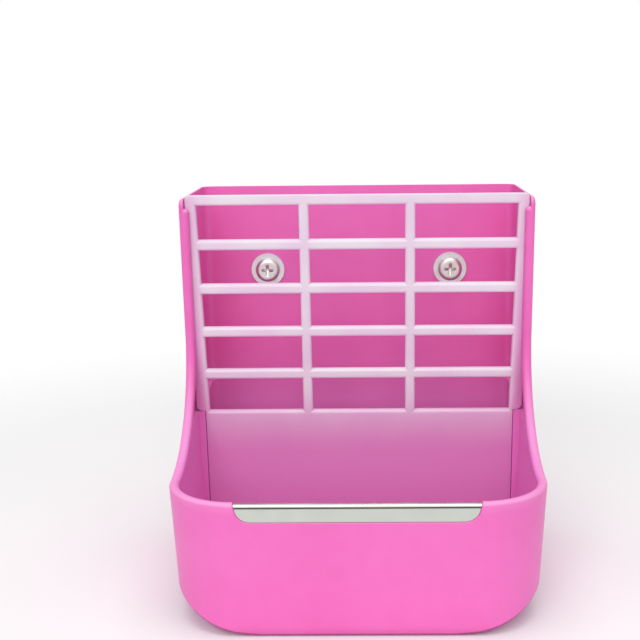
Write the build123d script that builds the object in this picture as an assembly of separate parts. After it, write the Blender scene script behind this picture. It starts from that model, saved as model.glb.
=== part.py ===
from build123d import *
from math import cos, radians, sin, sqrt, tan
import os

# A feeder for small animals: a moulded housing with a bowl in front and a tall hay hopper behind it,
# a lift-out grid between the two, a folded steel guard on the bowl's front lip, and two clamps on the
# back that hold the feeder to the wires of a cage. Millimetres; +X is to the right seen from the front,
# +Y goes to the back, +Z is up, and the origin lies under the middle of the housing, on its bottom face.

# ---- housing: outer form ----
rim_width = 180.2            # across the bowl's rim, behind its rounded front corners
side_taper = 3.2             # each side is this much further in at the back than at the front corner
depth = 144.0                # front wall to back wall, at the rim
rim_height = 66.4
wall_top = 195.8             # top of the side and back walls
corner_radius = 33.6         # the bowl's front corners seen from above, at the rim
back_corner_radius = 7.0
bowl_draft = 3.2             # degrees, the bowl narrows downwards
hopper_draft = 0.35          # degrees, the hopper narrows upwards
sweep_start = 30.0           # the rim's curve up to the grid starts this far behind the front
top_corner_radius = 4.0      # the side walls' top front corners
bottom_side_reach = 45.0     # the bottom turns up this far in from the rim's sides
bottom_side_radius = 62.0
bottom_edge_radius = 1.8

# ---- housing: walls ----
rim_wall = 4.7               # bowl wall and the hopper's front flanges
hopper_wall = 2.2            # side walls behind the flanges
back_wall = 3.0
floor_wall = 3.4
cavity_draft = 3.2           # degrees, inside of the bowl
cavity_floor_radius = 4.0
flange_depth = 4.1           # from the flange's front face to the grid's front face
lip_drop = 5.0               # the flange's inner lip ends this far below the wall's top
lip_end_radius = 2.2
rim_outer_round = 1.8
rim_inner_round = 1.9

# ---- grid ----
lean = 5.43                  # degrees, top of the grid forwards
seat_rise = 16.8             # where the grid's shoulders rest, above the rim
hopper_depth = 52.0          # from the grid's front face, there, to the back
grid_rise = 1.1              # the grid's top stands this far above the wall's top
grid_thick = 3.0
grid_clearance = 0.35        # to the flange in front and the guide ribs behind
grid_side_gap = 0.3
grid_seat_gap = 0.3          # under the grid's shoulders
middle_column = 48.1
mullion = 5.0
row_count = 5
bar = 5.23
top_bar = 5.0
top_rail = 5.2               # from the side openings to the grid's edge, at the top
seat_rail = 1.91             # and to the apron's edge, at the seat
rail_narrowing = 0.84        # each side of the grid is this much further in at the seat than at the top
shoulder_radius = 3.0
grid_corner_radius = 2.0
bar_round = 1.6              # front edges of the bars
apron_foot_gap = 1.2         # between the apron and the bowl's floor

# ---- housing: what guides and carries the grid ----
seat_rib_reach = 3.35        # how far the seat ribs stand in from the bowl's wall
seat_rib_front = 1.2         # how far they stand in front of the grid
seat_rib_back = 2.6          # and behind it
guide_rib_reach = 4.3        # how far the ribs behind the grid stand in from the hopper's wall
guide_rib_thick = 2.2
guide_rib_end = 5.0          # the guide ribs stop this far below the wall's top
foot_rib_height = 5.0
foot_rib_thick = 2.0
foot_rib_half_length = 30.0

# ---- steel guard on the front lip ----
guard_thick = 0.6
guard_recess = 0.45          # the steel lies this far below the plastic round it
guard_end_gap = 0.2          # from the start of the rim's round corner, on each side
guard_end_slope = 2.0        # each end is this much further in at its foot than at the rim
guard_drop = 9.0             # below the rim, outside
guard_inner_drop = 7.0       # below the rim, inside
guard_bend = 1.0             # inside radius of the fold
guard_bead_radius = 0.8      # the rolled bead along the fold's outer edge
guard_bead_proud = 0.4       # in front of the guard's face
guard_corner_radius = 7.0
guard_side_gap = 0.3
notch_round = 0.4            # the plastic's edge round the guard

# ---- clamps on the back ----
bolt_spacing = 100.0
bolt_below_top = 45.8
thread_diameter = 6.0
bolt_length = 25.0           # under the head
bolt_tip_chamfer = 0.8
head_diameter = 13.0
head_height = 3.6
head_round = 2.2
cross_width = 1.3
cross_length = 6.4
cross_depth = 1.9
hole_clearance = 0.25        # radial, the bolt in the back wall, its washer and the clamp plate
washer_diameter = 18.0
washer_thick = 1.2
plate_length = 62.0
plate_width = 20.0
plate_thick = 2.0
plate_corner = 5.0
plate_edge_round = 0.5
clamp_gap = 0.3              # back wall to plate, and plate to nut, with the nut run up
nut_hub_diameter = 12.0
nut_hub_end_diameter = 9.6
nut_hub_height = 7.0
nut_bore_clearance = 0.06    # radial, on the thread
wing_span = 27.0
wing_thick = 2.4
wing_height = 12.5
wing_tip_height = 6.2        # where the wing's tip begins, above the nut's face
wing_corner = 1.8
wing_edge_round = 0.6

y_front = -depth / 2
y_back = depth / 2
back_width = rim_width - 2 * side_taper
slant = radians(lean)
seat_height = rim_height + seat_rise
seat_y = y_back - hopper_depth
lip_top = wall_top - lip_drop
flange_thick = flange_depth - grid_clearance
both_edges = 0.42            # two roundings on a wall or bar take up to this share of it each
one_edge = 0.88              # and a single one up to this share
outer_round = min(rim_outer_round, both_edges * rim_wall, one_edge * hopper_wall)
inner_round = min(rim_inner_round, both_edges * rim_wall)
end_round = min(lip_end_radius, one_edge * (rim_wall - hopper_wall))
bottom_flat = rim_width / 2 - bottom_side_reach
grid_height = (wall_top + grid_rise - seat_height) / cos(slant)
row_height = (grid_height - top_bar - (row_count - 1) * bar) / row_count
apron_length = (seat_height - floor_wall) / cos(slant)
bolt_places = {"left": -bolt_spacing / 2, "right": bolt_spacing / 2}
bolt_height = wall_top - bolt_below_top
span = 3 * max(rim_width, depth, wall_top)      # longer than anything here, for cutting tools
near = 0.02                                     # how close to a surface counts as on it
grid_frame = Plane(origin=(0, seat_y, seat_height), x_dir=(1, 0, 0), z_dir=(0, -cos(slant), -sin(slant)))


def half_width(y):
    """Half the housing's width at the rim's height: a straight line from the front corner to the back."""
    y_corner = y_front + corner_radius
    share = (y - y_corner) / (y_back - y_corner)
    return (rim_width + (back_width - rim_width) * share) / 2


def plan(side, front):
    """The housing seen from above at the rim, moved in by a wall at the sides and the front."""
    y0 = y_front + front
    y1 = y_back + corner_radius
    w0 = half_width(y0) - side
    w1 = half_width(y1) - side
    face = Polygon((-w0, y0), (w0, y0), (w1, y1), (-w1, y1), align=None)
    return fillet(face.vertices().group_by(Axis.Y)[0], corner_radius - max(side, front))


def lower(face, start, bottom, draft):
    """From a starting height down to the bottom, narrowing downwards by the draft angle."""
    return Pos(0, 0, start) * mirror(extrude(face, start - bottom, taper=draft), about=Plane.XY)


def upper(face, start, top):
    """From a starting height up to the top, narrowing upwards by the hopper's draft."""
    return Pos(0, 0, start) * extrude(face, top - start, taper=hopper_draft)


def squared_off(body, y, radius):
    """The body cut off by an upright plane at the back, with its two corners there rounded."""
    body = body & Pos(0, y - span / 2, 0) * Box(2 * span, span, 2 * span)

    def is_corner(edge):
        return abs(edge.center().Y - y) < near and abs(edge.tangent_at(0.5).Z) > 0.9

    return fillet(body.edges().filter_by(is_corner), radius)


def along_x(yz_face):
    """A face drawn as (y, z), pushed out to both sides."""
    return extrude(Plane.YZ * yz_face, span, both=True)


def bottom_height(x, rise=0.0):
    """Height of the bottom sheet at a distance from the middle: flat, then an arc up each side."""
    radius = bottom_side_radius - rise
    out = max(0.0, abs(x) - bottom_flat)
    return bottom_side_radius - sqrt(radius**2 - min(out, radius) ** 2)


def over_bottom(rise):
    """Everything above the bottom sheet, or above a sheet parallel to it and higher by the rise.

    Its arcs are drawn through points that lie half and nine tenths of their radius further out.
    """
    radius = bottom_side_radius - rise
    flat = bottom_flat
    mid = flat + 0.5 * radius
    end = flat + 0.9 * radius
    foot = (flat, rise)
    turn = (mid, bottom_height(mid, rise))
    tip = (end, bottom_height(end, rise))
    outline = [
        Line((-flat, rise), foot),
        ThreePointArc(foot, turn, tip),
        Polyline(tip, (end, span), (-end, span), (-end, tip[1])),
        ThreePointArc((-end, tip[1]), (-mid, turn[1]), (-flat, rise)),
    ]
    return extrude(Plane.XZ * make_face(Curve() + outline), span, both=True)


def grid_y(z, forward=0.0):
    """Where the grid's front face is at a height, or a plane parallel to it further forward."""
    return seat_y - (z - seat_height) * tan(slant) - forward / cos(slant)


def hopper_inside(z):
    """Half the hopper's inner width at the grid's front face, at a height."""
    return half_width(grid_y(z)) - hopper_wall - (z - rim_height) * tan(radians(hopper_draft))


def side_view(top, setback=0.0, peak_radius=0.0):
    """The housing from the side as (y, z): low rim, curve, then a front edge that leans with the grid."""
    level_end = y_front + sweep_start
    run = grid_y(rim_height, flange_depth) - level_end
    sweep_radius = run / tan((radians(90) + slant) / 2)
    rim = rim_height - setback
    forward = flange_depth - setback
    knee = (grid_y(rim, forward), rim)
    peak = (grid_y(top, forward), top)
    face = Polygon((span, -span), (-span, -span), (-span, rim), knee, peak, (span, top), align=None)
    face = fillet(face.vertices().sort_by_distance(knee)[0], sweep_radius + setback)
    if peak_radius:
        face = fillet(face.vertices().sort_by_distance(peak)[0], peak_radius)
    return face


def slab(u0, u1, v0, v1, w0, w1):
    """A box in the grid's own frame: u across, v up the grid from its seat, w out of its front face."""
    centre = Pos((u0 + u1) / 2, (v0 + v1) / 2, (w0 + w1) / 2)
    return grid_frame * centre * Box(u1 - u0, v1 - v0, w1 - w0)


def both_sides(shape):
    """The shape and its mirror image on the other side."""
    return shape + mirror(shape, about=Plane.YZ)


# ---- the housing: one moulding of thick plastic, open at the top ----
def housing_block():
    """The housing's outer form as one solid block, with its outer edges rounded."""
    face = plan(0, 0)
    block = lower(face, rim_height, 0, bowl_draft) + upper(face, rim_height, wall_top)
    block = squared_off(block, y_back, back_corner_radius)
    block = block & along_x(side_view(wall_top, peak_radius=top_corner_radius)) & over_bottom(0)
    block = fillet(top_edges(block), outer_round)
    return fillet([edge for edge in block.edges() if on_sheet(edge, 0)], bottom_edge_radius)


def edge_points(edge):
    return [edge @ 0, edge @ 0.5, edge @ 1]


def top_edges(body, inset=0.0):
    """The edges round the walls' top: the rim, the curve up the sides, the leaning front edges, the top.

    An inset leaves only those that lie that far inside the rim's outer side.
    """
    outline = side_view(wall_top, peak_radius=top_corner_radius).face().outer_wire()
    inside = plan(inset, inset).face()
    chosen = []
    for edge in body.edges():
        points = edge_points(edge)
        off = max(outline.distance_to(Vertex(p.Y, p.Z, 0)) for p in points)
        within = inset == 0 or all(inside.is_inside((p.X, p.Y, 0)) for p in points)
        across = abs(edge.center().X) < near and y_front + 2 * rim_wall < edge.center().Y < y_back - near
        if off < near and within and not across:
            chosen.append(edge)
    return chosen


def on_sheet(edge, rise):
    """An edge round the bottom sheet, or one above it, without the lines where its sides turn up."""
    off = max(abs(p.Z - bottom_height(p.X, rise)) for p in edge_points(edge))
    lengthways = abs(edge.tangent_at(0.5).Y) > 0.9 and abs(abs(edge.center().X) - bottom_flat) < near
    return off < near and not lengthways


def bowl_cavity():
    """The open inside at the thickness of the rim, from the bowl's floor to the top."""
    face = plan(rim_wall, rim_wall)
    waist = rim_height - 2 * inner_round
    cavity = lower(face, waist, floor_wall, cavity_draft) + upper(face, waist, 2 * wall_top)
    cavity = squared_off(cavity, y_back - back_wall, back_corner_radius - back_wall)
    cavity = cavity & over_bottom(floor_wall)
    floor_edges = [edge for edge in cavity.edges() if on_sheet(edge, floor_wall)]
    return fillet(floor_edges, cavity_floor_radius)


def hopper_cavity():
    """The wider inside behind the front flanges, above the grid's seat, and over the flanges' lips."""
    wide = upper(plan(hopper_wall, 0), rim_height, 2 * wall_top)
    wide = squared_off(wide, y_back - back_wall, back_corner_radius - back_wall)
    behind = along_x(side_view(2 * wall_top, setback=flange_thick))
    over_seat = slab(-span, span, 0, span, -span, span)
    over_lips = Pos(0, 0, lip_top + span / 2) * Box(2 * span, 2 * span, span)
    return (wide & behind & over_seat) + (wide & over_lips)


def is_lip_end(edge):
    """The short top edge of a flange's inner lip, along its thickness, on the side that faces inwards."""
    c = edge.center()
    inner_side = abs(c.X) < hopper_inside(c.Z) - (rim_wall - hopper_wall) / 2
    return abs(c.Z - lip_top) < near and abs(edge.tangent_at(0.5).X) < 0.2 and inner_side


def guides():
    """Seat ribs beside the apron, guide ribs behind the grid, and two low ribs at the grid's foot."""
    rib_in = apron_half_width() + grid_side_gap
    rib_out = rim_width / 2
    behind = -grid_thick - grid_clearance
    seats = slab(rib_in, rib_out, -apron_length, 0, -grid_thick - seat_rib_back, seat_rib_front)
    rail_end = (wall_top - guide_rib_end - seat_height) / cos(slant)
    rail_in = hopper_inside(seat_height) - guide_rib_reach
    rails = slab(rail_in, rib_out, -guide_rib_thick, rail_end, behind - guide_rib_thick, behind)
    foot_end = foot_rib_height - apron_length
    feet = slab(-foot_rib_half_length, foot_rib_half_length, -apron_length - floor_wall / 2, foot_end,
                behind - foot_rib_thick, grid_clearance + foot_rib_thick)
    feet -= slab(-span, span, -span, span, behind, grid_clearance)
    return both_sides(seats) + both_sides(rails) + feet


def housing():
    """The pink moulding: bowl, sides, back, flanges, guides, the guard's seat and two bolt holes."""
    block = housing_block()
    body = block - bowl_cavity() - hopper_cavity()
    body = fillet(body.edges().filter_by(is_lip_end), end_round)
    body = fillet(top_edges(body, 0.9 * rim_wall), inner_round)
    body += guides() & block
    body -= guard_seat()
    body = fillet(body.edges().filter_by(is_notch_edge), notch_round)
    for x in bolt_places.values():
        body -= on_back(x) * Cylinder(thread_diameter / 2 + hole_clearance, 4 * back_wall)
    return body


# ---- the guard: one strip of steel folded over the front lip, against gnawing ----
def guard_outline(margin):
    """The guard seen from the front: its sides slope in to rounded lower corners."""
    foot = rim_height - guard_drop - margin
    head = rim_height + guard_drop
    w0 = rim_width / 2 - corner_radius - guard_end_gap - guard_end_slope + margin
    w1 = w0 + guard_end_slope / guard_drop * (head - foot)
    face = Polygon((-w0, foot), (w0, foot), (w1, head), (-w1, head), align=None)
    face = fillet(face.vertices().group_by(Axis.Y)[0], guard_corner_radius)
    return extrude(Plane.XZ * face, span, both=True)


def lip_section(inset):
    """The front lip's section as (y, z) between its two drafted faces, moved in, its corners bent."""
    drop = 2 * guard_drop
    y0 = y_front + inset
    y1 = y_front + rim_wall - inset
    top = rim_height - inset
    foot_outside = (y0 + drop * tan(radians(bowl_draft)), top - drop)
    foot_inside = (y1 + drop * tan(radians(cavity_draft)), top - drop)
    face = Polygon(foot_outside, (y0, top), (y1, top), foot_inside, align=None)
    return fillet(face.vertices().group_by(Axis.Y)[-1], guard_bend + guard_recess + guard_thick - inset)


def leg_space(margin):
    """The heights that the guard's outer and inner legs reach, as (y, z)."""
    middle = y_front + rim_wall / 2
    top = rim_height + guard_thick
    outer_foot = rim_height - guard_drop - margin
    inner_foot = rim_height - guard_inner_drop - margin
    outer = Polygon((middle - 2 * rim_wall, outer_foot), (middle, outer_foot),
                    (middle, top), (middle - 2 * rim_wall, top), align=None)
    inner = Polygon((middle, inner_foot), (middle + 2 * rim_wall, inner_foot),
                    (middle + 2 * rim_wall, top), (middle, top), align=None)
    return outer + inner


def guard():
    """The folded strip with the bead along its top, a little below the wall's faces."""
    bead_y = y_front + guard_recess - guard_bead_proud + guard_bead_radius
    bead = Pos(bead_y, rim_height - guard_recess - guard_bead_radius) * Circle(guard_bead_radius)
    section = (lip_section(guard_recess) + bead) - lip_section(guard_recess + guard_thick)
    return along_x(section & leg_space(0)) & guard_outline(0)


def guard_seat():
    """The space that the strip takes out of the lip."""
    section = leg_space(guard_side_gap) - lip_section(guard_recess + guard_thick)
    return along_x(section) & guard_outline(guard_side_gap)


def is_notch_edge(edge):
    """An edge of the guard's seat on the front wall's outer face."""
    wall_y = y_front + (rim_height - edge.center().Z) * tan(radians(bowl_draft))
    in_seat = abs(edge.center().X) < rim_width / 2 - corner_radius
    under_rim = rim_height - 1.2 * guard_drop < edge.center().Z < rim_height - 1.2 * outer_round
    return in_seat and under_rim and abs(edge.center().Y - wall_y) < near


# ---- the grid: lifts out upwards, and parts the hay from the bowl ----
def grid_half_width(v):
    """Half the grid's width at a place up its length, between its seat and its top."""
    at_top = hopper_inside(wall_top) - grid_side_gap
    return at_top - rail_narrowing * (1 - v / grid_height)


def apron_half_width():
    return half_width(seat_y) - rim_wall - seat_rib_reach - grid_side_gap


def opening(row, column):
    """One opening of the grid as (u, v): the outer columns get narrower downwards."""
    v0 = row * (row_height + bar)
    v1 = v0 + row_height
    inner = middle_column / 2
    top_end = grid_half_width(grid_height) - top_rail
    seat_end = apron_half_width() - seat_rail
    if column == 0:
        return Polygon((-inner, v0), (inner, v0), (inner, v1), (-inner, v1), align=None)
    start = inner + mullion
    ends = [seat_end + (top_end - seat_end) * v / grid_height for v in (v0, v1)]
    corners = [(start, v0), (ends[0], v0), (ends[1], v1), (start, v1)]
    return Polygon([(column * u, v) for u, v in corners], align=None)


def grid():
    """Five rows of three openings over a plain apron, whose shoulders rest on the seat ribs."""
    right = [(apron_half_width(), -apron_length), (apron_half_width(), grid_seat_gap),
             (grid_half_width(0), grid_seat_gap), (grid_half_width(grid_height), grid_height)]
    left = [(-u, v) for u, v in reversed(right)]
    face = Polygon(right + left, align=None)
    face = fillet(face.vertices().group_by(Axis.Y)[-1], grid_corner_radius)
    shoulders = [p for p in face.vertices() if abs(abs(p.X) - grid_half_width(0)) < near]
    face = fillet(shoulders, shoulder_radius)
    for row in range(row_count):
        for column in (-1, 0, 1):
            face -= opening(row, column)
    body = extrude(grid_frame * face, -grid_thick)
    front = body.faces().sort_by(SortBy.AREA)[-2:].sort_by(Axis.Y)[0]
    bars = [edge for wire in front.inner_wires() for edge in wire.edges()]
    thinnest = min(both_edges * bar, both_edges * mullion, one_edge * grid_thick, one_edge * seat_rail)
    body = fillet(bars, min(bar_round, thinnest))
    return body & over_bottom(floor_wall + apron_foot_gap)


# ---- the clamps: a bolt through the back wall, a plate behind the cage's wires, a wing nut ----
outwards = (Align.CENTER, Align.CENTER, Align.MIN)       # a piece that starts at its place and goes out


def on_back(x, out=0.0):
    """A place on the back face at a bolt, with its own Z pointing out of the back."""
    return Pos(x, y_back + out, bolt_height) * Rot(-90, 0, 0)


def clearance_hole(thick):
    return Cylinder(thread_diameter / 2 + hole_clearance, 3 * thick)


def bolt(x):
    """A round-headed bolt with a cross recess, its head in the hopper and its end out of the back."""
    seat = -back_wall - washer_thick
    shank = Pos(0, 0, seat) * Cylinder(thread_diameter / 2, bolt_length, align=outwards)
    shank = chamfer(shank.edges().sort_by(Axis.Z)[-1], bolt_tip_chamfer)
    head = Pos(0, 0, seat - head_height) * Cylinder(head_diameter / 2, head_height, align=outwards)
    head = fillet(head.edges().sort_by(Axis.Z)[0], head_round)
    slot = Box(cross_length, cross_width, 2 * cross_depth)
    cross = Pos(0, 0, seat - head_height) * (slot + Rot(0, 0, 90) * slot)
    return on_back(x) * (shank + head - cross)


def washer(x):
    ring = Cylinder(washer_diameter / 2, washer_thick) - clearance_hole(washer_thick)
    return on_back(x, -back_wall - washer_thick / 2) * ring


def plate(x):
    """A flat steel plate with rounded corners that bears on the cage's wires."""
    flat = extrude(RectangleRounded(plate_length, plate_width, plate_corner), plate_thick)
    flat = fillet(flat.edges().group_by(Axis.Z)[-1], plate_edge_round)
    return on_back(x, clamp_gap) * (flat - clearance_hole(plate_thick))


def wing_nut(x):
    """A tapered hub with two wings that rise outwards, bored to run on the bolt."""
    half = wing_span / 2
    hub = Cone(nut_hub_diameter / 2, nut_hub_end_diameter / 2, nut_hub_height, align=outwards)
    root_low = wing_edge_round
    root_high = nut_hub_height - wing_edge_round
    wing = Polygon((0, root_low), (nut_hub_diameter / 2, root_low), (half - wing_corner / 2, wing_tip_height),
                   (half, wing_height - wing_corner), (half - 2 * wing_corner, wing_height),
                   (nut_hub_end_diameter / 2, root_high), (0, root_high), align=None)
    bends = [p for p in wing.vertices() if p.X > nut_hub_diameter / 2 + near]
    wing = extrude(Plane.XZ * fillet(bends, wing_corner), wing_thick / 2, both=True)
    rims = [edge for edge in wing.faces().filter_by(Plane.XZ).edges() if edge.center().X > near]
    wing = fillet(rims, wing_edge_round)
    wings = wing + Rot(0, 0, 180) * wing
    bore = Cylinder(thread_diameter / 2 + nut_bore_clearance, 3 * wing_height)
    return on_back(x, 2 * clamp_gap + plate_thick) * (hub + wings - bore)


parts = {"feeder_housing": housing(), "bite_guard": guard(), "hay_grid": grid()}
for side, x in bolt_places.items():
    parts[f"{side}_bolt"] = bolt(x)
    parts[f"{side}_bolt_washer"] = washer(x)
    parts[f"{side}_clamp_plate"] = plate(x)
    parts[f"{side}_wing_nut"] = wing_nut(x)

os.makedirs("parts", exist_ok=True)
for name, part in parts.items():
    export_step(part, f"parts/{name}.step")
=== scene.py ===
import math
import bpy
import numpy as np
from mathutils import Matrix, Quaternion, Vector


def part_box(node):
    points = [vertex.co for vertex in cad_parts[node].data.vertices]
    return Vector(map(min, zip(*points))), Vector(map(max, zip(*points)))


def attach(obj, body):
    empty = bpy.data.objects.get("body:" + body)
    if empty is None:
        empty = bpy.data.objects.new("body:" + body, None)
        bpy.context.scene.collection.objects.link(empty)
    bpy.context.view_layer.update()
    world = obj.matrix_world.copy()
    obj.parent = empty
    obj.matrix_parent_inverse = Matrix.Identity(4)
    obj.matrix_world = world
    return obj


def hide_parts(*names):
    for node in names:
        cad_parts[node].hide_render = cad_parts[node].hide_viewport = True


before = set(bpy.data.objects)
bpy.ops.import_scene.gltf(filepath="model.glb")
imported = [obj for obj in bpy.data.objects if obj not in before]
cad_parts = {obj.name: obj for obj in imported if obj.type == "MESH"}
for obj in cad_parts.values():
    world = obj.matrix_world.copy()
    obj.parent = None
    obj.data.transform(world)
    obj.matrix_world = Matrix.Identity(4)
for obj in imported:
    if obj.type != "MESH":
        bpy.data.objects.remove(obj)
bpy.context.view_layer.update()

# The view: the feeder stands square to a lens of middling length about 0.6 m away and 60 mm above its
# top, so that one looks down a little on the bowl's rim and through the grid.
eye = Vector((0.0084, -0.5829, 0.2600))
heading = math.radians(-0.82)
look_down = math.radians(12.03)
tilt = math.radians(-0.57)
focal_length = 67.5
sensor_width = 36.0
sideways_shift = -0.0589

ahead = Vector((
    math.sin(heading) * math.cos(look_down),
    math.cos(heading) * math.cos(look_down),
    -math.sin(look_down),
))
lens = bpy.data.cameras.new("view")
lens.sensor_fit = "HORIZONTAL"
lens.sensor_width = sensor_width
lens.lens = focal_length
lens.shift_x = sideways_shift
camera = bpy.data.objects.new("view", lens)
camera.location = eye
camera.rotation_mode = "QUATERNION"
camera.rotation_quaternion = ahead.to_track_quat("-Z", "Y") @ Quaternion((0, 0, 1), tilt)
bpy.context.scene.collection.objects.link(camera)
bpy.context.scene.camera = camera


# The housing: one deep moulding of pink polypropylene, bowl, sides and back together, with a satin
# skin. Moulded plastic shows a faint orange peel, slow changes of tone where it flowed, and scuffs
# where hay, feed and teeth rub it along the rim and the other edges. The rim's paler upward faces are a
# painted highlight.
class Amount:
    """A number that varies over a surface; sums of amounts and plain numbers add Math nodes."""

    def __init__(self, finish, socket):
        self.finish = finish
        self.socket = socket

    def combined(self, operation, first, second):
        return self.finish.node("Math", {"operation": operation}, {0: first, 1: second})

    def __add__(self, other):
        return self.combined("ADD", self, other)

    def __radd__(self, other):
        return self.combined("ADD", other, self)

    def __sub__(self, other):
        return self.combined("SUBTRACT", self, other)

    def __rsub__(self, other):
        return self.combined("SUBTRACT", other, self)

    def __mul__(self, other):
        return self.combined("MULTIPLY", self, other)

    def __rmul__(self, other):
        return self.combined("MULTIPLY", other, self)

    def at_least(self, low):
        """The amount, or the low value where it is less."""
        return self.combined("MAXIMUM", self, low)

    def between(self, low, high):
        """0 below the low value, 1 above the high one, and a smooth step from one to the other."""
        limits = {"Value": self, "From Min": low, "From Max": high}
        return self.finish.node("MapRange", {"interpolation_type": "SMOOTHSTEP"}, limits)


class Finish:
    """A material and the nodes that make it."""

    def __init__(self, name):
        self.material = bpy.data.materials.new(name)
        self.material.use_nodes = True
        self.tree = self.material.node_tree
        self.tree.nodes.clear()

    def node(self, kind, settings, inputs, output=0):
        """Adds a node: first its settings, then its inputs, each a value or an output of another node."""
        made = self.tree.nodes.new("ShaderNode" + kind)
        for name, value in settings.items():
            setattr(made, name, value)
        for name, value in inputs.items():
            if isinstance(value, Amount):
                self.tree.links.new(value.socket, made.inputs[name])
            else:
                made.inputs[name].default_value = value
        return Amount(self, made.outputs[output]) if made.outputs else None

    def place(self, stretch=(1, 1, 1)):
        """Where a point lies on the piece, in metres, stretched along the three axes."""
        here = self.node("TexCoord", {}, {}, "Object")
        return self.node("Mapping", {}, {"Vector": here, "Scale": stretch})

    def coordinate(self, axis):
        """One coordinate of a point on the piece, in metres."""
        return self.node("SeparateXYZ", {}, {"Vector": self.place()}, axis)

    def noise(self, size, detail=3.0, stretch=(1, 1, 1), distortion=0.0):
        """Cloudy noise from 0 to 1 whose clouds are about that size, in metres."""
        inputs = {"Scale": 1 / size, "Detail": detail, "Distortion": distortion}
        return self.node("TexNoise", {}, {"Vector": self.place(stretch), **inputs}, "Fac")

    def edges(self, reach):
        """1 on sharp edges, 0 on flat and rounded faces, from how far a rounded normal leans off."""
        rounded = self.node("Bevel", {"samples": 6}, {"Radius": reach}, "Normal")
        plain = self.node("NewGeometry", {}, {}, "Normal")
        agreement = self.node("VectorMath", {"operation": "DOT_PRODUCT"}, {0: rounded, 1: plain}, "Value")
        return (1 - agreement).between(0.02, 0.25)

    def upwards(self):
        """How far the surface faces up: 1 if it is level, 0 if upright, -1 on an underside."""
        plain = self.node("NewGeometry", {}, {}, "Normal")
        return self.node("SeparateXYZ", {}, {"Vector": plain}, "Z")

    def sideways(self):
        """How far a point lies from the plane through the piece's middle, in metres."""
        return self.node("Math", {"operation": "ABSOLUTE"}, {0: self.coordinate("X")})

    def tint(self, amount, first, second):
        """The first colour where the amount is 0, the second where it is 1."""
        return self.node("Mix", {"data_type": "RGBA"}, {0: amount, 6: first, 7: second}, 2)

    def bump(self, height, depth):
        """A normal bent by a height map whose full range is that deep, in metres."""
        return self.node("Bump", {}, {"Height": height, "Distance": depth, "Strength": 1.0}, "Normal")

    def surface(self, inputs):
        """Ends the material with a surface that has these inputs."""
        shader = self.node("BsdfPrincipled", {}, inputs)
        self.node("OutputMaterial", {}, {"Surface": shader})
        return self.material


rim_width = 0.1802
rim_height = 0.0664
depth = 0.1440                  # front wall to back wall, at the rim
corner_radius = 0.0336          # the rim's round front corners, seen from above
rim_wall = 0.0047
back_wall = 0.0030
side_taper = 0.029              # how steeply the sides close in towards the back
wall_draft = 0.056              # how steeply the walls close in towards the bottom
skin = 0.0011                   # how deep in a wall its finish changes


def inside_of_walls(finish):
    """1 on the inner faces of the walls and on the ribs, 0 on the outer faces.

    With the taper and the draft taken off, the walls' outer outline is all the points at one distance,
    the corners' radius, from the middles of the round front corners and from the straight lines that
    run back from those. So the sum of two squares tells how far out a point lies.
    """
    corner_across = rim_width / 2 - corner_radius
    corner_forwards = depth / 2 - corner_radius
    backwards = finish.coordinate("Y")
    narrowing = wall_draft * (rim_height - finish.coordinate("Z"))
    taper = side_taper * (backwards + corner_forwards)
    across = (finish.sideways() + taper + narrowing - corner_across).at_least(0)
    forwards = (narrowing - backwards - corner_forwards).at_least(0)
    innermost = corner_radius - rim_wall + skin
    outermost = corner_radius - skin
    within = 1 - (across * across + forwards * forwards).between(innermost**2, outermost**2)
    return within * (1 - backwards.between(depth / 2 - back_wall + skin / 2, depth / 2 - skin))


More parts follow.
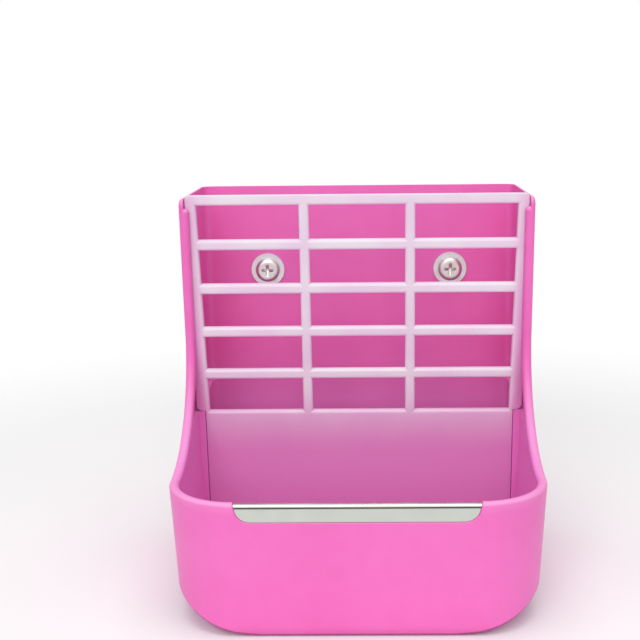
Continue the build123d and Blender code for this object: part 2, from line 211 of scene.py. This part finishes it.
def pink_polypropylene():
    """Satin pink: tone clouds of 60 and 9 mm, orange peel of 0.7 mm, scuffs and paler edges.

    The rim's upward faces are painted paler, a painted highlight, and so is the front lip's face over its
    top 6 mm. The inner faces are painted paler and less pink, a painted lift of the shade and the pink
    bounce inside the bowl, which fades out 40 mm above the rim. Painted shade darkens the lowest 5 mm and
    the edge round the underside.
    """
    pink = (0.900, 0.172, 0.555, 1)
    deep_pink = (0.865, 0.148, 0.510, 1)
    scuffed_and_highlit = (0.940, 0.460, 0.770, 1)
    inner_lift_pink = (0.840, 0.290, 0.690, 1)
    painted_shade_plum = (0.330, 0.040, 0.170, 1)
    finish = Finish("pink_polypropylene")
    height = finish.coordinate("Z")
    upward = finish.upwards()
    at_front = 1 - finish.coordinate("Y").between(0.006 - depth / 2, 0.022 - depth / 2)
    # Painted highlight: the rim's upward faces and the top 6 mm of the front lip's face are painted
    # paler.
    lip = height.between(rim_height - 0.0064, rim_height) * at_front
    painted_rim_highlight = (0.65 * upward.between(0.10, 0.70) + 0.35 * lip) * height.between(0.035, 0.055)
    flow = 0.7 * finish.noise(0.060, 2.0) + 0.3 * finish.noise(0.009, 2.0)
    scratches = finish.noise(0.0016, 4.0, (1.0, 1.0, 0.18), 1.5).between(0.66, 0.78)
    worn_place = finish.noise(0.022, 3.0).between(0.45, 0.75)
    # wear is real scuffing and edge wear, plus the painted rim highlight.
    wear = scratches * worn_place * 0.22 + finish.edges(0.0006) * worn_place * 0.4 + painted_rim_highlight * 0.6
    # Painted light: the inner faces are painted paler and less pink against their shade and pink bounce.
    painted_inner_lift = 0.7 * inside_of_walls(finish) * (1 - height.between(0.070, 0.105))
    # Painted shade: the lowest 5 mm and the faces turned down are painted dark plum.
    foot = (1 - height.between(0.0, 0.0055)) * (1 - upward.between(0.3, 0.7)) * 0.35
    below = (0 - upward).between(0.10, 0.50) - 0.6 * (0 - upward).between(0.60, 0.75)
    painted_shade = foot + below * (1 - foot)
    colour = finish.tint(wear, finish.tint(flow.between(0.3, 0.7), deep_pink, pink), scuffed_and_highlit)
    colour = finish.tint(painted_shade, finish.tint(painted_inner_lift, colour, inner_lift_pink), painted_shade_plum)
    peel = finish.noise(0.0007, 2.0) * 0.6 + finish.noise(0.0045, 2.0) * 0.4
    return finish.surface({
        "Base Color": colour,
        "Roughness": 0.34 + 0.10 * flow + 0.25 * wear,
        "IOR": 1.49,
        "Subsurface Weight": 0.08,
        "Subsurface Radius": (0.0030, 0.0010, 0.0020),
        "Subsurface Scale": 1.0,
        "Normal": finish.bump(peel - 0.8 * scratches, 0.000035),
    })


def dress(node, material):
    """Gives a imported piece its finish."""
    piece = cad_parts[node]
    piece.data.materials.clear()
    piece.data.materials.append(material)


dress("feeder_housing", pink_polypropylene())


# The grid: a lift-out lattice of milky white plastic, a little see-through. The pink light that the
# housing throws on it is painted into its colour, most of all on the apron that stands in the bowl.
def milky_plastic():
    """White with tone clouds of 30 mm and a fine peel.

    Pink bounce light is painted on the apron, and on the side rails, which lie in pink grooves, most of
    all low down.
    """
    white = (0.850, 0.790, 0.860, 1)
    shade = (0.830, 0.670, 0.830, 1)
    bounce_pink = (0.760, 0.300, 0.610, 1)
    finish = Finish("milky_plastic")
    flow = finish.noise(0.030, 2.0).between(0.3, 0.7)
    height = finish.coordinate("Z")
    # Painted light: pink bounce from the housing, painted on the apron and on the side rails.
    apron = 1 - height.between(0.058, 0.100)
    rails = finish.sideways().between(0.0775, 0.0830) * (1 - 0.75 * height.between(0.085, 0.190))
    scratches = finish.noise(0.0014, 4.0, (0.25, 1.0, 1.0), 1.5).between(0.67, 0.80)
    wear = 0.5 * scratches + finish.edges(0.0005) * finish.noise(0.012).between(0.4, 0.7)
    painted_pink_bounce = apron + rails - apron * rails
    colour = finish.tint(painted_pink_bounce, finish.tint(flow, shade, white), bounce_pink)
    peel = finish.noise(0.0008, 2.0)
    return finish.surface({
        "Base Color": colour,
        "Roughness": 0.38 + 0.10 * flow + 0.15 * wear,
        "IOR": 1.49,
        "Subsurface Weight": 0.25,
        "Subsurface Radius": (0.0040, 0.0030, 0.0040),
        "Subsurface Scale": 1.0,
        "Normal": finish.bump(peel - 0.6 * scratches, 0.000030),
    })


dress("hay_grid", milky_plastic())


# The guard: a strip of stainless sheet folded over the front lip and rolled to a bead along its top,
# so that teeth meet steel. Its face is brushed lengthways and scratched by use.
def brushed_stainless():
    """Satin steel: brush lines along X, 0.15 mm apart and 25 mm long, over clouds of 12 mm.

    Painted shade lies in the crease under the bead, in a line 0.8 mm wide.
    """
    steel = (0.600, 0.642, 0.586, 1)
    dull = (0.550, 0.590, 0.536, 1)
    crease_shade = (0.050, 0.048, 0.042, 1)
    crease = rim_height - 0.0020
    finish = Finish("brushed_stainless")
    height = finish.coordinate("Z")
    # Painted shade: a dark line in the crease under the bead.
    below_bead = height.between(crease - 0.0009, crease - 0.0001)
    painted_crease_shade = below_bead - height.between(crease + 0.0001, crease + 0.0006)
    bead = height.between(crease + 0.0004, crease + 0.0009)
    lines = finish.noise(0.00015, 2.0, (0.006, 1.0, 1.0))
    clouds = finish.noise(0.012, 3.0).between(0.3, 0.7)
    scratches = finish.noise(0.0020, 3.0, (0.3, 1.0, 1.0), 2.0).between(0.68, 0.74)
    return finish.surface({
        "Base Color": finish.tint(painted_crease_shade, finish.tint(0.5 * clouds + 0.5 * lines, dull, steel), crease_shade),
        "Metallic": 1.0,
        "Roughness": 0.36 + 0.12 * lines + 0.10 * clouds - 0.08 * scratches - 0.16 * bead + 0.2 * painted_crease_shade,
        "Normal": finish.bump(lines - 1.5 * scratches, 0.000012),
    })


dress("bite_guard", brushed_stainless())


# The clamps: round-headed bolts, washers, plates and wing nuts of bright zinc-plated steel, which
# hold the feeder to a cage through the back wall.
def zinc_plate():
    """Bright zinc: bluish and yellowish clouds of 6 mm, a grain of 0.8 mm, and rubbed bright edges."""
    zinc = (0.660, 0.680, 0.700, 1)
    yellowish = (0.640, 0.620, 0.560, 1)
    bright = (0.800, 0.800, 0.800, 1)
    finish = Finish("zinc_plate")
    clouds = finish.noise(0.0060, 4.0).between(0.35, 0.7)
    grain = finish.noise(0.0008, 3.0)
    rubbed = finish.edges(0.0004)
    colour = finish.tint(rubbed, finish.tint(clouds, zinc, yellowish), bright)
    return finish.surface({
        "Base Color": colour,
        "Metallic": 1.0,
        "Roughness": 0.26 + 0.16 * grain + 0.10 * clouds - 0.08 * rubbed,
        "Normal": finish.bump(grain, 0.000015),
    })


thread_radius = 0.0030
thread_depth = 0.00055
thread_pitch = 0.0010
head_radius = 0.0065
head_height = 0.0036
head_round = 0.0022
recess_depth = 0.0019
recess_reach = 0.0032
recess_half_width = 0.00065
recess_wall = 0.00025
tip_chamfer = 0.0008
edge_break = 0.0002             # how far the head's sharp edges are taken off
thread_start = 0.0003           # from under the head
sharpest = math.radians(35)     # edges that turn more than this stay sharp
rings_on_face = 30
rings_round_edge = 8
rings_per_pitch = 10
steps_round = 72


def smooth_step(t):
    """3 t^2 - 2 t^3 between 0 and 1, flat outside."""
    t = np.clip(t, 0, 1)
    return t * t * (3 - 2 * t)


def cross_arm(across, along):
    """How deep one arm of the cross is pressed in: 1 - (a / reach)^2 along it, steep walls across."""
    wall = smooth_step((recess_half_width - np.abs(across)) / recess_wall + 0.5)
    return wall * np.clip(1 - (along / recess_reach) ** 2, 0, 1)


def bolt_rings(head_at, tip_at):
    """Radius and place along Y of the bolt's outline, from the head's middle over the edge to the tip."""
    bend = np.linspace(0, math.pi / 2, rings_round_edge + 1)[1:]
    seat = head_at + head_height
    flat = np.linspace(0, head_radius - head_round, rings_on_face + 1)[1:]
    shank = np.arange(seat + thread_start, tip_at - tip_chamfer, thread_pitch / rings_per_pitch)
    radius = np.concatenate([
        flat,
        head_radius - head_round + head_round * np.sin(bend),
        [head_radius, head_radius - edge_break, thread_radius + edge_break],
        np.full(len(shank), thread_radius),
        [thread_radius, thread_radius - tip_chamfer],
    ])
    along = np.concatenate([
        np.full(len(flat), head_at),
        head_at + head_round * (1 - np.cos(bend)),
        [seat - edge_break, seat, seat],
        shank,
        [tip_at - tip_chamfer, tip_at],
    ])
    return radius, along


def threaded_bolt(name, middle, head_at, tip_at):
    """A bolt along Y as a grid of rings and angles v, x = r sin v and z = r cos v about its middle.

    On the shank r = R - d (1 - |2 f - 1|) with f the fraction of y / pitch - v / 2 pi, a V thread. On
    the head y is pressed in by the cross: two arms |x| < w and |z| < w, shallower outwards as 1 - t^2.
    """
    radius, along = bolt_rings(head_at, tip_at)
    turn = np.linspace(0, 2 * math.pi, steps_round, endpoint=False)
    r, v = np.meshgrid(radius, turn, indexing="ij")
    y = np.repeat(along[:, None], steps_round, axis=1)
    groove = 1 - np.abs(2 * np.mod(y / thread_pitch - v / (2 * math.pi), 1) - 1)
    started = smooth_step((y - head_at - head_height - thread_start) / thread_pitch)
    on_shank = ((radius <= thread_radius) & (along < tip_at))[:, None]
    r = r - thread_depth * groove * started * on_shank
    x = r * np.sin(v)
    z = r * np.cos(v)
    arms = [cross_arm(x, z), cross_arm(z, x)]
    y = y + recess_depth * np.maximum(*arms) * (along < head_at + head_round)[:, None]
    rings = np.stack([x + middle[0], y, z + middle[1]], axis=-1).reshape(-1, 3)
    ends = np.array([[middle[0], head_at + recess_depth, middle[1]], [middle[0], tip_at, middle[1]]])
    points = np.concatenate([rings, ends])
    count = len(radius)
    here = np.arange(steps_round)
    after = np.roll(here, -1)
    row = steps_round * np.arange(count - 1)[:, None]
    next_row = row + steps_round
    sides = np.stack([row + here, row + after, next_row + after, next_row + here], axis=-1)
    last = steps_round * (count - 1)
    head_fan = np.stack([np.full(steps_round, len(rings)), after, here], axis=-1)
    tip_fan = np.stack([np.full(steps_round, len(rings) + 1), last + here, last + after], axis=-1)
    mesh = bpy.data.meshes.new(name)
    faces = sides.reshape(-1, 4).tolist() + head_fan.tolist() + tip_fan.tolist()
    mesh.from_pydata(points.tolist(), [], faces)
    mesh.shade_smooth()
    mesh.set_sharp_from_angle(angle=sharpest)
    made = bpy.data.objects.new(name, mesh)
    bpy.context.scene.collection.objects.link(made)
    return made


zinc = zinc_plate()
for side in ("left", "right"):
    for hardware in ("bolt_washer", "clamp_plate", "wing_nut"):
        dress(f"{side}_{hardware}", zinc)
    low, high = (Vector(corner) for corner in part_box(f"{side}_bolt"))
    middle = ((low.x + high.x) / 2, (low.z + high.z) / 2)
    bolt = threaded_bolt(f"{side}_bolt_threaded", middle, low.y, high.y)
    bolt.data.materials.append(zinc)
    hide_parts(f"{side}_bolt")
    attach(bolt, "housing")


# The studio: a round table top of matt white board that fades out into an all-white room, a wide soft
# lamp above and one in front.
board_radius = 0.60
clear_radius = 0.26             # the board fades out from here
board_rings = 24
board_steps = 96


def round_board():
    """A flat disc: rings of radius r and angles v round a middle point, x = r cos v and y = r sin v."""
    radius = np.linspace(0, board_radius, board_rings + 1)[1:]
    turn = np.linspace(0, 2 * math.pi, board_steps, endpoint=False)
    r, v = np.meshgrid(radius, turn, indexing="ij")
    rings = np.stack([r * np.cos(v), r * np.sin(v), np.zeros_like(r)], axis=-1).reshape(-1, 3)
    here = np.arange(board_steps)
    after = np.roll(here, -1)
    row = board_steps * np.arange(board_rings - 1)[:, None]
    next_row = row + board_steps
    around = np.stack([row + here, next_row + here, next_row + after, row + after], axis=-1)
    centre = np.stack([np.full(board_steps, len(rings)), here, after], axis=-1)
    mesh = bpy.data.meshes.new("board")
    faces = around.reshape(-1, 4).tolist() + centre.tolist()
    mesh.from_pydata(rings.tolist() + [(0, 0, 0)], [], faces)
    return bpy.data.objects.new("board", mesh)


def white_board():
    """Matt white with a trace of tooth, 1 mm across, that fades out towards its edge."""
    hollow = (0.965, 0.965, 0.965, 1)
    raised = (0.985, 0.985, 0.985, 1)
    finish = Finish("white_board")
    tooth = finish.noise(0.001, 2.0)
    away = finish.node("VectorMath", {"operation": "LENGTH"}, {0: finish.place()}, "Value")
    return finish.surface({
        "Base Color": finish.tint(tooth, hollow, raised),
        "Roughness": 0.9,
        "Specular IOR Level": 0.0,
        "Alpha": 1 - away.between(clear_radius, 0.95 * board_radius),
    })


board = round_board()
board.data.materials.append(white_board())
bpy.context.scene.collection.objects.link(board)


middle_of_feeder = Vector((0, 0, 0.1))


def soft_lamp(name, place, size, power):
    """A square lamp that faces the middle of the feeder."""
    light = bpy.data.lights.new(name, "AREA")
    light.size = size
    light.energy = power
    lamp = bpy.data.objects.new(name, light)
    lamp.location = place
    lamp.rotation_mode = "QUATERNION"
    lamp.rotation_quaternion = (middle_of_feeder - lamp.location).to_track_quat("-Z", "Y")
    bpy.context.scene.collection.objects.link(lamp)


soft_lamp("lamp_above", Vector((0.0, -0.2, 1.6)), size=1.4, power=11.0)
soft_lamp("lamp_front", Vector((-0.2, -1.6, 0.9)), size=1.2, power=11.5)


def white_room(seen, lit):
    """A white room that looks that bright to the lens and in gloss, and lights the feeder with less."""
    room = bpy.data.worlds.new("white_room")
    room.use_nodes = True
    tree = room.node_tree
    path = tree.nodes.new("ShaderNodeLightPath")
    looked_at = path.outputs["Is Camera Ray"]
    for ray in ("Is Glossy Ray", "Is Transmission Ray"):
        either = tree.nodes.new("ShaderNodeMath")
        either.operation = "MAXIMUM"
        tree.links.new(looked_at, either.inputs[0])
        tree.links.new(path.outputs[ray], either.inputs[1])
        looked_at = either.outputs["Value"]
    strength = tree.nodes.new("ShaderNodeMapRange")
    strength.inputs["To Min"].default_value = lit
    strength.inputs["To Max"].default_value = seen
    tree.links.new(looked_at, strength.inputs["Value"])
    tree.links.new(strength.outputs["Result"], tree.nodes["Background"].inputs["Strength"])
    tree.nodes["Background"].inputs["Color"].default_value = (1, 1, 1, 1)
    return room


bpy.context.scene.world = white_room(seen=1.0, lit=0.50)
bpy.context.scene.view_settings.view_transform = "Standard"
